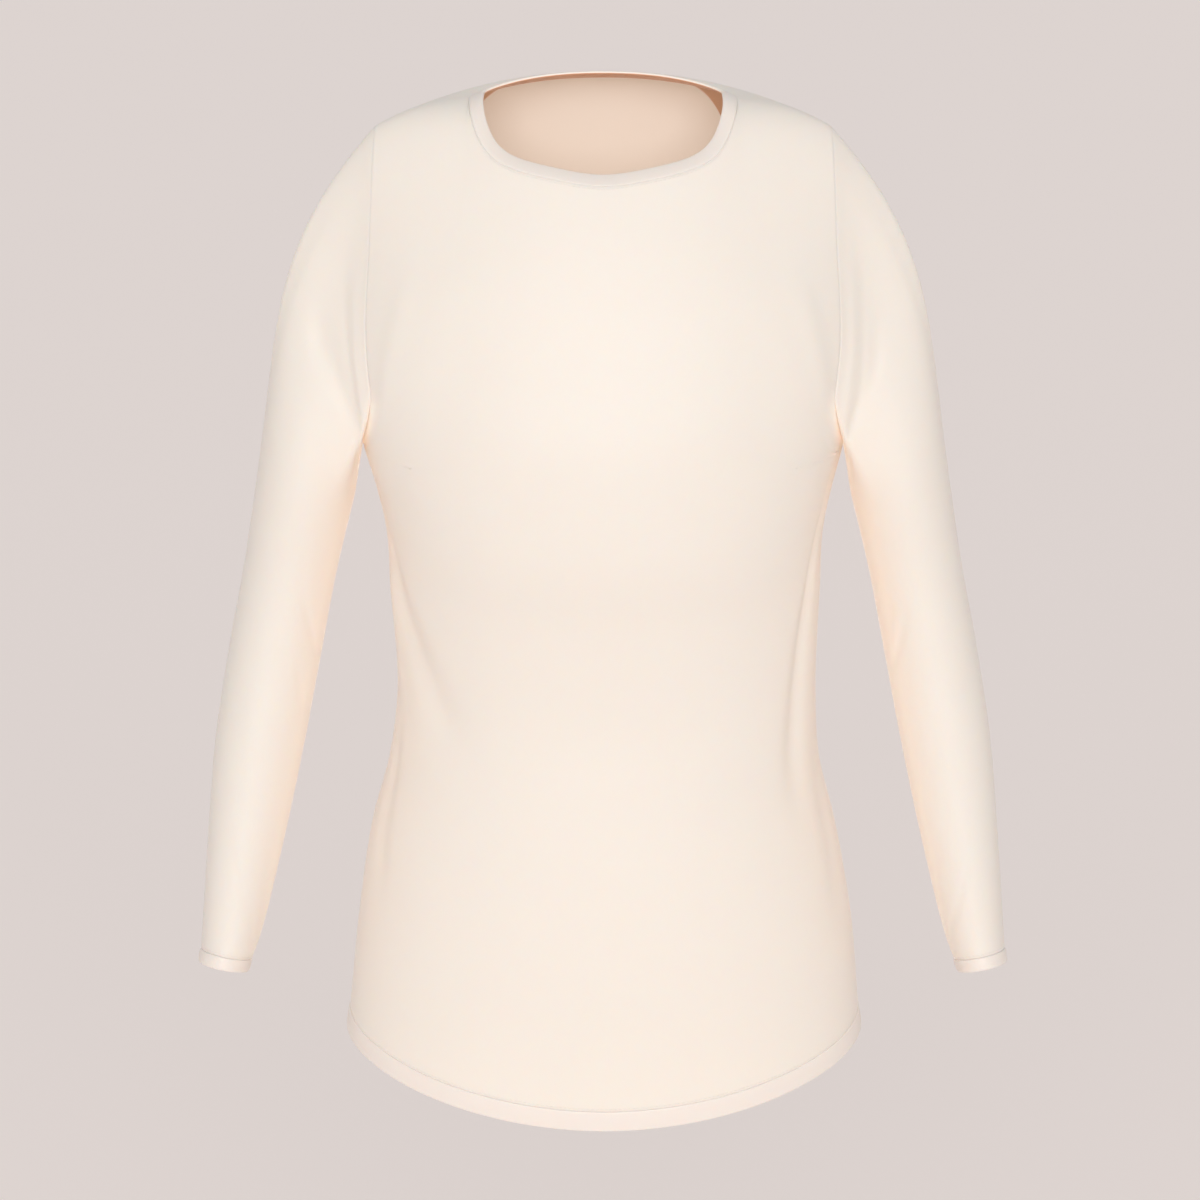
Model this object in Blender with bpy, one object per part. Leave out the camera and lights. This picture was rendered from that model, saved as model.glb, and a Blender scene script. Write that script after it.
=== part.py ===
# Long sleeve jersey top, filled out as if worn, with nobody in it.
# Metres, +Z up, the front faces -Y. The origin lies midway between the side neck points,
# where the wearer's shoulders carry the top.
# Each piece is a cloth wall: a grid of points on its outer face and the same grid moved in.

import bmesh
import bpy
import numpy as np

# Cloth, bands and seams
CLOTH = 0.0012
BAND = 0.0021
BAND_PROUD = 0.0005
SEAM_GAP = 0.0003
NECK_BAND_WIDTH = 0.0105
HEM_BAND_WIDTH = 0.014
CUFF_BAND_WIDTH = 0.009

# Seam of the neck band, seen from above, about the middle of the shoulder line: an oval whose
# power rises above 2 towards the sides, which squares its front corners
NECK_HALF = 0.088
NECK_FRONT = 0.064
NECK_BACK = 0.046
NECK_SQUARE_FRONT = 1.1
NECK_SQUARE_BACK = 0.0
SHOULDER_Y = 0.004

# Lean of the neck band: how far its free edge lies inside its seam at the side, in front and behind
NECK_LEAN_SIDE = 0.0098
NECK_LEAN_FRONT = 0.0087
NECK_LEAN_BACK = 0.0096

# Armhole: share of the panel's height where it starts, height over which its bottom rounds,
# and how far round the section its edge lies, as a share of the depth
UNDERARM = 0.63
SCOOP = 0.08
ARMHOLE_REACH = 0.50

# Flat measures of a panel, used to place the folds
PANEL_HALF = 0.225
PANEL_LENGTH = 0.665

# Steps of the grids. The rows along the armhole close up towards the shoulder by a power, and the
# columns move by another power of the height from even steps at the hem to the neck's own
SIDE_ROWS = 15
SCOOP_ROWS = 4
ARMHOLE_ROWS = 10
ARMHOLE_POWER = 1.4
NECK_COLUMNS = 16
SHOULDER_COLUMNS = 5
COLUMN_POWER = 2
CAP_ROWS = 7
ARM_ROWS = 13
NECK_BAND_ROWS = 2
HEM_BAND_ROWS = 1
CUFF_BAND_ROWS = 1

# Steps used to measure directions on the body and along the arm, halvings that find the neck seam,
# the distance within which points count as one, and the smallest length that has a direction
BODY_STEP = 1e-4
ARM_STEP = 0.01
NECK_HALVINGS = 40
SAME_POINT = 1e-6
SMALLEST = 1e-9

SHARP_ANGLE = np.radians(50)

JERSEY_COLOR = (0.93, 0.86, 0.79, 1.0)
BAND_COLOR = (0.94, 0.87, 0.80, 1.0)
JERSEY_ROUGHNESS = 0.8

# One row for each level of the body, from the hem seam to the shoulder seam.
# share: place along the side edge. x: the section's middle. y, z: depth and height of the side edge.
# wide: half width of the section. front, back: its depth forwards and backwards.
# rise: how much higher the middle lies, in front and behind. bow: power of that rise.
# full: how much squarer than an ellipse the section is.
BODY_COLUMNS = ("share", "x", "y", "z", "wide", "front", "back", "rise_front", "rise_back",
                "bow", "full_front", "full_back")
BODY = {
    "hem":      (0.00, 0.0010, 0.006, -0.645, 0.1800, 0.120, 0.118, -0.029, -0.030, 1.9, 0.02, 0.03),
    "hip":      (0.10, 0.0015, 0.006, -0.580, 0.1735, 0.121, 0.116, -0.012, -0.012, 2.0, 0.02, 0.04),
    "high_hip": (0.22, 0.0005, 0.006, -0.505, 0.1610, 0.118, 0.102, -0.003, -0.003, 2.0, 0.02, 0.04),
    "flank":    (0.30, 0.0010, 0.004, -0.455, 0.1485, 0.112, 0.090, 0.000, 0.000, 2.0, 0.02, 0.04),
    "waist":    (0.37, 0.0025, 0.002, -0.410, 0.1440, 0.107, 0.084, 0.000, 0.000, 2.0, 0.02, 0.03),
    "midriff":  (0.48, 0.0015, 0.002, -0.335, 0.1465, 0.113, 0.088, 0.000, 0.000, 2.0, 0.02, 0.03),
    "bust":     (0.57, 0.0010, 0.004, -0.280, 0.1500, 0.124, 0.096, 0.002, 0.002, 2.0, 0.04, 0.03),
    "underarm": (0.63, 0.0000, 0.004, -0.231, 0.1620, 0.122, 0.100, 0.005, 0.005, 2.0, 0.04, 0.03),
    "chest":    (0.76, 0.0000, 0.004, -0.155, 0.1760, 0.100, 0.100, 0.015, 0.014, 2.0, 0.03, 0.03),
    "yoke":     (0.87, 0.0000, 0.004, -0.090, 0.1760, 0.068, 0.088, 0.0336, 0.0300, 2.0, 0.01, 0.01),
    "roll":     (0.95, 0.0000, 0.004, -0.041, 0.1750, 0.040, 0.062, 0.0341, 0.0486, 2.1, 0.00, 0.00),
    "shoulder": (1.00, 0.0000, 0.004, -0.0187, 0.1735, 0.000, 0.000, 0.0206, 0.0206, 4.4, 0.00, 0.00),
}

# One row for each level of the left sleeve below its cap, from the biceps to the band.
# share: place along the arm. x, y, z: middle. across, deep: half sizes of the section.
ARM_COLUMNS = ("share", "x", "y", "z", "across", "deep")
ARM = {
    "biceps":  (0.00, 0.202, 0.006, -0.266, 0.0336, 0.050),
    "upper":   (0.16, 0.213, 0.008, -0.319, 0.0315, 0.047),
    "elbow":   (0.35, 0.226, 0.006, -0.384, 0.0315, 0.046),
    "forearm": (0.53, 0.237, -0.002, -0.444, 0.0305, 0.044),
    "low":     (0.74, 0.248, -0.014, -0.514, 0.0260, 0.039),
    "wrist":   (0.94, 0.259, -0.026, -0.579, 0.0200, 0.033),
    "cuff":    (1.00, 0.262, -0.030, -0.592, 0.0180, 0.031),
}

# Cap of the sleeve. Its start and end tangents are these shares of the way from the armhole to the
# biceps, at the shoulder and at the underarm. The start turns from the panel's direction towards the
# arm's by the lean at the shoulder and all the way at the underarm, by a power
CAP_START = 1.26
CAP_END = 1.34
CAP_LOW = 0.64
CAP_LEAN = 0.35
CAP_TURN = 1.6

# Fading of a fold: share of its length either side of its middle that keeps the full height,
# share over which it then fades, and the power that flattens it at the side borders
FOLD_KEEP = 0.3
FOLD_FADE = 0.25
FOLD_BORDER = 8

# One row for each fold, drawn on the flat piece: across from its middle and up from its lower edge
# at the start and at the end, then its width and its height. A height below zero is a trough.
FOLDS = {
    "right_flank":       ("front", -0.195, 0.345, -0.160, 0.235, 0.014, -0.0030),
    "right_flank_ridge": ("front", -0.165, 0.330, -0.120, 0.215, 0.016, 0.0018),
    "left_flank":        ("front", 0.182, 0.340, 0.160, 0.180, 0.010, -0.0042),
    "left_flank_ridge":  ("front", 0.162, 0.330, 0.138, 0.175, 0.012, 0.0024),
    "right_drag":        ("front", -0.150, 0.455, -0.105, 0.580, 0.024, -0.0030),
    "left_drag":         ("front", 0.152, 0.455, 0.108, 0.580, 0.024, -0.0028),
    "right_back_waist":  ("back", -0.150, 0.250, -0.040, 0.235, 0.012, -0.0030),
    "left_back_waist":   ("back", 0.155, 0.265, 0.050, 0.240, 0.012, -0.0035),
    "right_blade":       ("back", -0.148, 0.450, -0.100, 0.560, 0.024, -0.0024),
    "left_blade":        ("back", 0.150, 0.450, 0.104, 0.565, 0.024, -0.0022),
}


def read(columns, table, name, at):
    """Reads one column of a table at any share, on a smooth curve through its rows."""
    rows = np.array(list(table.values()))
    shares = rows[:, 0]
    values = rows[:, columns.index(name)]
    slopes = np.gradient(values, shares)
    lower = np.clip(np.searchsorted(shares, at, side="right") - 1, 0, len(shares) - 2)
    gap = shares[lower + 1] - shares[lower]
    t = (at - shares[lower]) / gap
    rise = values[lower + 1] - values[lower]
    start = slopes[lower] * gap
    end = slopes[lower + 1] * gap
    return values[lower] + t * (start + t * (3 * rise - 2 * start - end + t * (start + end - 2 * rise)))


def read_depth(columns, table, name, at):
    """Reads a depth through its square, so that the shoulder rounds over where the depth ends at nothing."""
    squares = {level: tuple(value ** 2 if columns[i] == name else value for i, value in enumerate(row))
               for level, row in table.items()}
    return np.sqrt(np.maximum(read(columns, squares, name, at), 0.0))


def unit(vectors):
    return vectors / np.linalg.norm(vectors, axis=-1, keepdims=True)


def armhole_edge(up):
    """Angle round the section at which the panel ends: the side seam, then the rounded armhole."""
    scoop = np.clip((up - UNDERARM) / SCOOP, 0.0, 1.0)
    return np.arccos(ARMHOLE_REACH * np.sqrt(1.0 - (1.0 - scoop) ** 2))


def body_point(side, across, up):
    """Point of the body, front for side -1 and back for 1, at shares across (-1 to 1) and up (0 to 1)."""
    across, up = np.broadcast_arrays(across, up)
    name = "front" if side < 0 else "back"
    wide = read(BODY_COLUMNS, BODY, "wide", up)
    depth = read_depth(BODY_COLUMNS, BODY, name, up)
    full = read(BODY_COLUMNS, BODY, "full_" + name, up)
    edge = armhole_edge(up)
    angle = edge * across
    swell = 1.0 + full * np.sin(2.0 * angle) ** 2
    x = wide * np.sin(angle) * swell
    edge_x = wide * np.sin(edge) * (1.0 + full * np.sin(2.0 * edge) ** 2)
    y = read(BODY_COLUMNS, BODY, "y", up) + side * depth * np.cos(angle) * swell
    middle = 1.0 - np.abs(x / edge_x) ** read(BODY_COLUMNS, BODY, "bow", up)
    z = read(BODY_COLUMNS, BODY, "z", up) + read(BODY_COLUMNS, BODY, "rise_" + name, up) * middle
    return np.stack([x + read(BODY_COLUMNS, BODY, "x", up), y, z], axis=-1)


def body_normals(side, across, up):
    """Outward normals of the body, from two short steps on its surface."""
    here = body_point(side, across, up)
    around = here - body_point(side, across - BODY_STEP, up)
    along = here - body_point(side, across, up - BODY_STEP)
    return unit(np.cross(around, along)) * -side


def neck_height(side, across):
    """Share up at which each column of a panel meets the neck seam, or 1 on the shoulder."""
    deep, square = (NECK_FRONT, NECK_SQUARE_FRONT) if side < 0 else (NECK_BACK, NECK_SQUARE_BACK)
    low = np.full(across.shape, UNDERARM)
    high = np.ones(across.shape)
    on_shoulder = np.abs(body_point(side, across, high)[:, 0]) >= NECK_HALF - SMALLEST
    for _ in range(NECK_HALVINGS):
        middle = (low + high) / 2.0
        point = body_point(side, across, middle)
        away = np.abs(point[:, :2] - [0.0, SHOULDER_Y]) / [NECK_HALF, deep]
        inside = np.sum(away ** (2.0 + square * away[:, :1] ** 2), axis=-1) < 1.0
        high = np.where(inside, middle, high)
        low = np.where(inside, low, middle)
    return np.where(on_shoulder, 1.0, high)


def top_columns():
    """Shares across at the top of a panel: even steps round the neck, then along each shoulder."""
    wide = BODY["shoulder"][BODY_COLUMNS.index("wide")]
    edge = np.arccos(ARMHOLE_REACH)
    turns = np.linspace(-np.pi / 2, np.pi / 2, NECK_COLUMNS + 1)
    neck = np.arcsin(NECK_HALF / wide * np.sin(turns)) / edge
    shoulder = np.linspace(neck[-1], 1.0, SHOULDER_COLUMNS + 1)[1:]
    return np.concatenate([-shoulder[::-1], neck, shoulder])


def row_shares():
    """Shares up the side edge: even to the underarm, round the scoop, then closer towards the shoulder."""
    side = np.linspace(0.0, UNDERARM, SIDE_ROWS + 1)
    scoop = UNDERARM + SCOOP * (1.0 - np.cos(np.linspace(0.0, np.pi / 2, SCOOP_ROWS + 1)[1:]))
    left = np.linspace(1.0, 0.0, ARMHOLE_ROWS + 1)[1:] ** ARMHOLE_POWER
    return np.concatenate([side, scoop, 1.0 - (1.0 - scoop[-1]) * left])


def tube_normals(points):
    """Outward normals of a grid whose rows are closed rings."""
    around = np.roll(points, -1, axis=1) - np.roll(points, 1, axis=1)
    normals = unit(np.cross(around, np.gradient(points, axis=0)))
    outward = np.sum(normals * (points - points.mean(axis=1, keepdims=True)))
    return normals * np.sign(outward)


def fold_heights(piece, flat_x, flat_up):
    """Sum of a piece's folds: each a soft ridge or trough along a line, fading at its ends."""
    total = np.zeros(flat_x.shape)
    for name, x0, up0, x1, up1, width, height in FOLDS.values():
        if name != piece:
            continue
        run = np.array([x1 - x0, up1 - up0])
        along = ((flat_x - x0) * run[0] + (flat_up - up0) * run[1]) / (run @ run)
        off = ((flat_x - x0) * run[1] - (flat_up - up0) * run[0]) / np.hypot(*run)
        fade = np.exp(-(np.maximum(np.abs(along - 0.5) - FOLD_KEEP, 0.0) / FOLD_FADE) ** 2)
        total += height * fade * np.exp(-(off / width) ** 2)
    return total


def panel(side):
    """Grid of the front or the back, from the hem seam to the neck and shoulder seams, and its normals."""
    top = top_columns()
    bottom = np.linspace(-1.0, 1.0, len(top))
    rows = row_shares()[:, None]
    across = bottom + (top - bottom) * rows ** COLUMN_POWER
    up = rows * neck_height(side, top)
    points = body_point(side, across, up)
    normals = body_normals(side, across, up)
    name = "front" if side < 0 else "back"
    heights = fold_heights(name, across * PANEL_HALF, up * PANEL_LENGTH) * (1.0 - across ** FOLD_BORDER)
    return points + normals * heights[..., None], normals


def side_border(points, column):
    """Border of a panel from the shoulder tip down to the underarm."""
    return points[:SIDE_ROWS - 1:-1, column]


def armhole(front, back, hand):
    """Loop of an armhole from the shoulder tip down the front and up the back, and each point's way out."""
    edge, inner = (-1, -2) if hand > 0 else (0, 1)
    front_edge = side_border(front, edge)
    back_edge = side_border(back, edge)
    loop = np.concatenate([front_edge, back_edge[-2:0:-1]])
    front_out = front_edge - side_border(front, inner)
    back_out = back_edge - side_border(back, inner)
    front_out[0] += back_out[0]
    front_out[-1] += back_out[-1]
    return loop, unit(np.concatenate([front_out, back_out[-2:0:-1]]))


def arm_point(share, angle):
    """Point of the left sleeve below its cap, at an angle from its outer side round by the front."""
    share, angle = np.broadcast_arrays(share, angle)
    middle = np.stack([read(ARM_COLUMNS, ARM, name, share) for name in ("x", "y", "z")], axis=-1)
    axis = arm_axis(share)
    forward = np.array([0.0, -1.0, 0.0])
    forward = unit(forward - axis * (axis @ forward)[..., None])
    outward = np.cross(forward, axis)
    across = read(ARM_COLUMNS, ARM, "across", share) * np.cos(angle)
    deep = read(ARM_COLUMNS, ARM, "deep", share) * np.sin(angle)
    return middle + outward * across[..., None] + forward * deep[..., None]


def arm_axis(share):
    """Direction of the arm at a share along it."""
    ends = [np.stack([read(ARM_COLUMNS, ARM, name, at) for name in ("x", "y", "z")], axis=-1)
            for at in (share - ARM_STEP, share + ARM_STEP)]
    return unit(ends[1] - ends[0])


def sleeve(loop, outward, hand):
    """Grid of a sleeve: a cap from the armhole to the biceps, then the arm down to the cuff seam."""
    mirror = np.array([hand, 1.0, 1.0])
    loop = loop * mirror
    outward = outward * mirror
    half = len(loop) // 2
    steps = np.linalg.norm(np.roll(loop, -1, axis=0) - loop, axis=-1)
    front = np.concatenate([[0.0], np.cumsum(steps[:half])]) / steps[:half].sum()
    back = 1.0 + np.concatenate([[0.0], np.cumsum(steps[half:])])[:-1] / steps[half:].sum()
    angle = np.pi * np.concatenate([front[:-1], back])
    biceps = arm_point(np.zeros_like(angle), angle)
    axis = arm_axis(np.zeros(1))
    low = (0.5 - 0.5 * np.cos(angle))[:, None] ** CAP_TURN
    turn = CAP_LEAN + (1.0 - CAP_LEAN) * low
    way = np.linalg.norm(biceps - loop, axis=-1, keepdims=True)
    start = unit(outward * (1.0 - turn) + axis * turn) * way * (CAP_START + (CAP_LOW - CAP_START) * low)
    end = axis * way * (CAP_END + (CAP_LOW - CAP_END) * low)
    t = np.linspace(0.0, 1.0, CAP_ROWS + 1)[:-1, None, None]
    cap = ((2 * t ** 3 - 3 * t ** 2 + 1) * loop + (t ** 3 - 2 * t ** 2 + t) * start
           + (3 * t ** 2 - 2 * t ** 3) * biceps + (t ** 3 - t ** 2) * end)
    arm = arm_point(np.linspace(0.0, 1.0, ARM_ROWS + 1)[:, None], angle[None, :])
    return np.concatenate([cap, arm]) * mirror


def neck_band(front, back):
    """Grid of the neck band, from its seam up and in to its free edge."""
    columns = slice(SHOULDER_COLUMNS, SHOULDER_COLUMNS + NECK_COLUMNS + 1)
    seam = np.concatenate([front[-1, columns], back[-1, columns][-2:0:-1]])
    ahead = seam[:, 1:2] < SHOULDER_Y
    deep = np.where(ahead, NECK_FRONT, NECK_BACK)
    middle = np.where(ahead, NECK_LEAN_FRONT, NECK_LEAN_BACK)
    size = np.hstack([np.full_like(deep, NECK_HALF), deep])
    away = (seam[:, :2] - [0.0, SHOULDER_Y]) / size
    lean = NECK_LEAN_SIDE + (middle - NECK_LEAN_SIDE) * unit(away)[:, 1:2] ** 2
    rise = np.sqrt(NECK_BAND_WIDTH ** 2 - lean ** 2)
    free = seam + np.hstack([-unit(away / size) * lean, rise])
    t = np.linspace(0.0, 1.0, NECK_BAND_ROWS + 1)[:, None, None]
    return seam * (1.0 - t) + free * t


def edge_band(seam, before, width, rows):
    """Grid of a band that goes on from a piece's last rows, over the band's width."""
    t = np.linspace(0.0, 1.0, rows + 1)[:, None, None]
    return seam + unit(seam - before) * width * t


def hem_loop(front, back, row):
    return np.concatenate([front[row], back[row, -2:0:-1]])


def unit_or_zero(vectors):
    return vectors / np.maximum(np.linalg.norm(vectors, axis=-1, keepdims=True), SMALLEST)


def share_normals(pieces):
    """Gives points that several pieces share one normal, so that their walls meet edge to edge.
    It lies midway between the panels' normal and the tubes'."""
    points = np.concatenate([piece["points"].reshape(-1, 3) for piece in pieces.values()])
    normals = np.concatenate([piece["normals"].reshape(-1, 3) for piece in pieces.values()])
    tube = np.concatenate([np.full(piece["points"].size // 3, piece["closed"])
                           for piece in pieces.values()])
    _, group = np.unique(np.rint(points / SAME_POINT), axis=0, return_inverse=True)
    group = group.ravel()
    total = np.zeros((group.max() + 1, 3))
    for kind in (tube, ~tube):
        sums = np.zeros_like(total)
        np.add.at(sums, group[kind], normals[kind])
        total += unit_or_zero(sums)
    shared = unit(total)[group]
    start = 0
    for piece in pieces.values():
        count = piece["normals"].size // 3
        piece["normals"] = shared[start:start + count].reshape(piece["normals"].shape)
        start += count


def panel_seams():
    """Seams of a panel as pairs of grid indices: the border and the points next to it."""
    everything = slice(None)
    neck = slice(SHOULDER_COLUMNS, SHOULDER_COLUMNS + NECK_COLUMNS + 1)
    seams = [((0, everything), (1, everything)), ((-1, neck), (-2, neck))]
    for shoulder in (slice(0, neck.start + 1), slice(neck.stop - 1, None)):
        seams.append(((-1, shoulder), (-2, shoulder)))
    for rows in (slice(0, SIDE_ROWS + 1), slice(SIDE_ROWS, None)):
        seams.append(((rows, 0), (rows, 1)))
        seams.append(((rows, -1), (rows, -2)))
    return seams


def inset(points, normals, seams, closed):
    """Draws each seam back by half the seam gap, square to the seam and to the shared normals."""
    result = points.copy()
    for border, inner in seams:
        edge = points[border]
        if closed:
            tangent = np.roll(edge, -1, axis=0) - np.roll(edge, 1, axis=0)
        else:
            tangent = np.gradient(edge, axis=0)
        shift = unit(np.cross(normals[border], tangent))
        shift *= np.sign(np.sum(shift * (points[inner] - edge)))
        result[border] += shift * SEAM_GAP / 2
    return result


def split_quads(points, quads):
    """Splits four-sided faces along their shorter diagonals, so that facing walls split alike."""
    first, second, third, fourth = quads.T
    across = np.linalg.norm(points[first] - points[third], axis=-1)
    other = np.linalg.norm(points[second] - points[fourth], axis=-1)
    turned = np.where((across <= other)[:, None], quads, np.roll(quads, -1, axis=1))
    return np.concatenate([turned[:, [0, 1, 2]], turned[:, [0, 2, 3]]])


def wall_mesh(name, points, normals, closed, thickness, proud):
    """Closed wall between a grid's outer and inner points."""
    rows, columns = points.shape[:2]
    outer = points + normals * proud
    inner = outer - normals * thickness
    index = np.arange(rows * columns).reshape(rows, columns)
    if closed:
        index = np.concatenate([index, index[:, :1]], axis=1)
    corners = np.stack([index[:-1, :-1], index[:-1, 1:], index[1:, 1:], index[1:, :-1]], axis=-1)
    corners = corners.reshape(-1, 4)
    count = rows * columns
    borders = [index[0], index[-1][::-1]]
    if not closed:
        borders += [index[::-1, 0], index[:, -1]]
    rims = [np.column_stack([border[:-1], border[1:], border[1:] + count, border[:-1] + count])
            for border in borders]
    places = np.concatenate([outer.reshape(-1, 3), inner.reshape(-1, 3)])
    faces = split_quads(places, np.concatenate([corners, corners[:, ::-1] + count] + rims))
    mesh = bpy.data.meshes.new(name)
    mesh.from_pydata(places.tolist(), [], faces.tolist())
    shape = bmesh.new()
    shape.from_mesh(mesh)
    bmesh.ops.recalc_face_normals(shape, faces=shape.faces)
    shape.to_mesh(mesh)
    shape.free()
    mesh.shade_smooth()
    mesh.set_sharp_from_angle(angle=SHARP_ANGLE)
    return mesh


def jersey_material(name, color):
    material = bpy.data.materials.new(name)
    material.use_nodes = True
    shader = material.node_tree.nodes["Principled BSDF"]
    shader.inputs["Base Color"].default_value = color
    shader.inputs["Roughness"].default_value = JERSEY_ROUGHNESS
    shader.inputs["Metallic"].default_value = 0.0
    return material


def clear_scene():
    for thing in list(bpy.data.objects):
        bpy.data.objects.remove(thing, do_unlink=True)


def make_pieces():
    """All pieces as grids and normals, with the borders that are seams."""
    front, front_normals = panel(-1)
    back, back_normals = panel(1)
    left = sleeve(*armhole(front, back, 1), 1)
    right = sleeve(*armhole(front, back, -1), -1)
    hem = hem_loop(front, back, 0)
    above_hem = hem_loop(front, back, 1)
    tubes = {
        "left_sleeve": left,
        "right_sleeve": right,
        "neck_band": neck_band(front, back),
        "hem_band": edge_band(hem, above_hem, HEM_BAND_WIDTH, HEM_BAND_ROWS),
        "left_cuff_band": edge_band(left[-1], left[-2], CUFF_BAND_WIDTH, CUFF_BAND_ROWS),
        "right_cuff_band": edge_band(right[-1], right[-2], CUFF_BAND_WIDTH, CUFF_BAND_ROWS),
    }
    pieces = {
        "front": dict(points=front, normals=front_normals, closed=False, seams=panel_seams()),
        "back": dict(points=back, normals=back_normals, closed=False, seams=panel_seams()),
    }
    start = ((0, slice(None)), (1, slice(None)))
    end = ((-1, slice(None)), (-2, slice(None)))
    for name, points in tubes.items():
        seams = [start] if name.endswith("band") else [start, end]
        pieces[name] = dict(points=points, normals=tube_normals(points), closed=True, seams=seams)
    return pieces


def main():
    clear_scene()
    pieces = make_pieces()
    share_normals(pieces)
    for name, piece in pieces.items():
        points = inset(piece["points"], piece["normals"], piece["seams"], piece["closed"])
        band = name.endswith("band")
        thickness = BAND if band else CLOTH
        proud = BAND_PROUD if band else 0.0
        mesh = wall_mesh(name, points, piece["normals"], piece["closed"], thickness, proud)
        mesh.materials.append(jersey_material(name + "_cloth", BAND_COLOR if band else JERSEY_COLOR))
        bpy.context.scene.collection.objects.link(bpy.data.objects.new(name, mesh))


main()
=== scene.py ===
import bpy
import numpy as np
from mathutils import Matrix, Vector


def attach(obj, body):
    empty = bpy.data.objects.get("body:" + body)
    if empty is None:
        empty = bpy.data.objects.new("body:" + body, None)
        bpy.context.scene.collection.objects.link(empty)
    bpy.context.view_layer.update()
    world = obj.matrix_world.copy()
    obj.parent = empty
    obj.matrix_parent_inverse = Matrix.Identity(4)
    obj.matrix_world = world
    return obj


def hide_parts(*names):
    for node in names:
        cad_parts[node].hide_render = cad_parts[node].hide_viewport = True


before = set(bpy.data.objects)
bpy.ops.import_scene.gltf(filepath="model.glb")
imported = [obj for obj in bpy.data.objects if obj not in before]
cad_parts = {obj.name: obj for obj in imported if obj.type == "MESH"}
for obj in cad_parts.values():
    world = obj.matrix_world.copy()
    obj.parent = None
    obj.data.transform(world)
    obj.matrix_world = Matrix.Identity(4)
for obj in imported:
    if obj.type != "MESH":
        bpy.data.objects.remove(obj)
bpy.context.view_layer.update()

print("frame loaded:", len(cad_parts), "nodes")

# Body form, one row for each level from the hem seam to the shoulder seam, in metres: share up the
# side edge, middle of the section, height of the side edge, half width, depth in front and behind,
# how much higher the middle lies, power of that rise, and fullness in front and behind
bodyForm = {
    "columns": ("share", "x", "y", "z", "wide", "front", "back", "riseFront", "riseBack", "bow",
                "fullFront", "fullBack"),
    "hem":      (0.00, 0.0010, 0.006, -0.6450, 0.1800, 0.120, 0.118, -0.0290, -0.0300, 1.9, 0.02, 0.03),
    "hip":      (0.10, 0.0015, 0.006, -0.5800, 0.1735, 0.121, 0.116, -0.0120, -0.0120, 2.0, 0.02, 0.04),
    "highHip":  (0.22, 0.0005, 0.006, -0.5050, 0.1610, 0.118, 0.102, -0.0030, -0.0030, 2.0, 0.02, 0.04),
    "flank":    (0.30, 0.0010, 0.004, -0.4550, 0.1485, 0.112, 0.090, 0.0000, 0.0000, 2.0, 0.02, 0.04),
    "waist":    (0.37, 0.0025, 0.002, -0.4100, 0.1440, 0.107, 0.084, 0.0000, 0.0000, 2.0, 0.02, 0.03),
    "midriff":  (0.48, 0.0015, 0.002, -0.3350, 0.1465, 0.113, 0.088, 0.0000, 0.0000, 2.0, 0.02, 0.03),
    "bust":     (0.57, 0.0010, 0.004, -0.2800, 0.1500, 0.124, 0.096, 0.0020, 0.0020, 2.0, 0.04, 0.03),
    "underarm": (0.63, 0.0000, 0.004, -0.2310, 0.1620, 0.122, 0.100, 0.0050, 0.0050, 2.0, 0.04, 0.03),
    "chest":    (0.76, 0.0000, 0.004, -0.1550, 0.1760, 0.100, 0.100, 0.0150, 0.0140, 2.0, 0.03, 0.03),
    "yoke":     (0.87, 0.0000, 0.004, -0.0900, 0.1760, 0.068, 0.088, 0.0336, 0.0300, 2.0, 0.01, 0.01),
    "roll":     (0.95, 0.0000, 0.004, -0.0410, 0.1750, 0.040, 0.062, 0.0341, 0.0486, 2.1, 0.00, 0.00),
    "shoulder": (1.00, 0.0000, 0.004, -0.0187, 0.1735, 0.000, 0.000, 0.0206, 0.0206, 4.4, 0.00, 0.00),
}

# Panels: cloth thickness; where the armhole starts, how soon it is full and the cosine of its edge;
# the neck oval in front (-1) and behind (1), how much squarer than an ellipse it is, and halvings
# that find it; share of the columns that end at it; flat half width and length; power that ends
# the creases at the side seam; and the grid's steps, with the samples that even them out
panel = {
    "cloth": 0.0012,
    "underarm": 0.63, "scoop": 0.08, "armholeReach": 0.50,
    "neckHalf": 0.088, "neckDeep": {-1: 0.0635, 1: 0.046}, "neckSquare": {-1: 1.1, 1: 0.0},
    "shoulderY": 0.004, "halvings": 40,
    "neckShare": 8 / 13, "halfWidth": 0.225, "length": 0.665, "creaseEnd": 12,
    "neckSteps": 42, "shoulderSteps": 28, "sideSteps": 118, "armholeSteps": 62,
    "sideSamples": 240, "armholeSamples": 400,
}

# Sleeve form, one row for each level of the left one below its cap: share along the arm,
# middle of the section, half sizes across and deep
sleeveForm = {
    "columns": ("share", "x", "y", "z", "across", "deep"),
    "biceps":  (0.00, 0.202, 0.006, -0.266, 0.0336, 0.050),
    "upper":   (0.16, 0.213, 0.008, -0.319, 0.0315, 0.047),
    "elbow":   (0.35, 0.226, 0.006, -0.384, 0.0315, 0.046),
    "forearm": (0.53, 0.237, -0.002, -0.444, 0.0305, 0.044),
    "low":     (0.74, 0.248, -0.014, -0.514, 0.0260, 0.039),
    "wrist":   (0.94, 0.259, -0.026, -0.579, 0.0200, 0.033),
    "cuff":    (1.00, 0.262, -0.030, -0.592, 0.0180, 0.031),
}

# Sleeve: pull of the cap's curve at the armhole and at the arm, and of both under the arm; how far
# the curve leans down the arm at the top, and the power of its turn; shares along the arm that give
# its direction; radius that turns degrees into metres; and the grid's steps and samples
sleeve = {
    "capStart": 1.26, "capEnd": 1.34, "capLow": 0.64, "capLean": 0.35, "capTurn": 1.6,
    "leave": 0.02, "axisStep": 0.01, "radius": 0.045, "steps": 130, "samples": 500,
}

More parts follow.
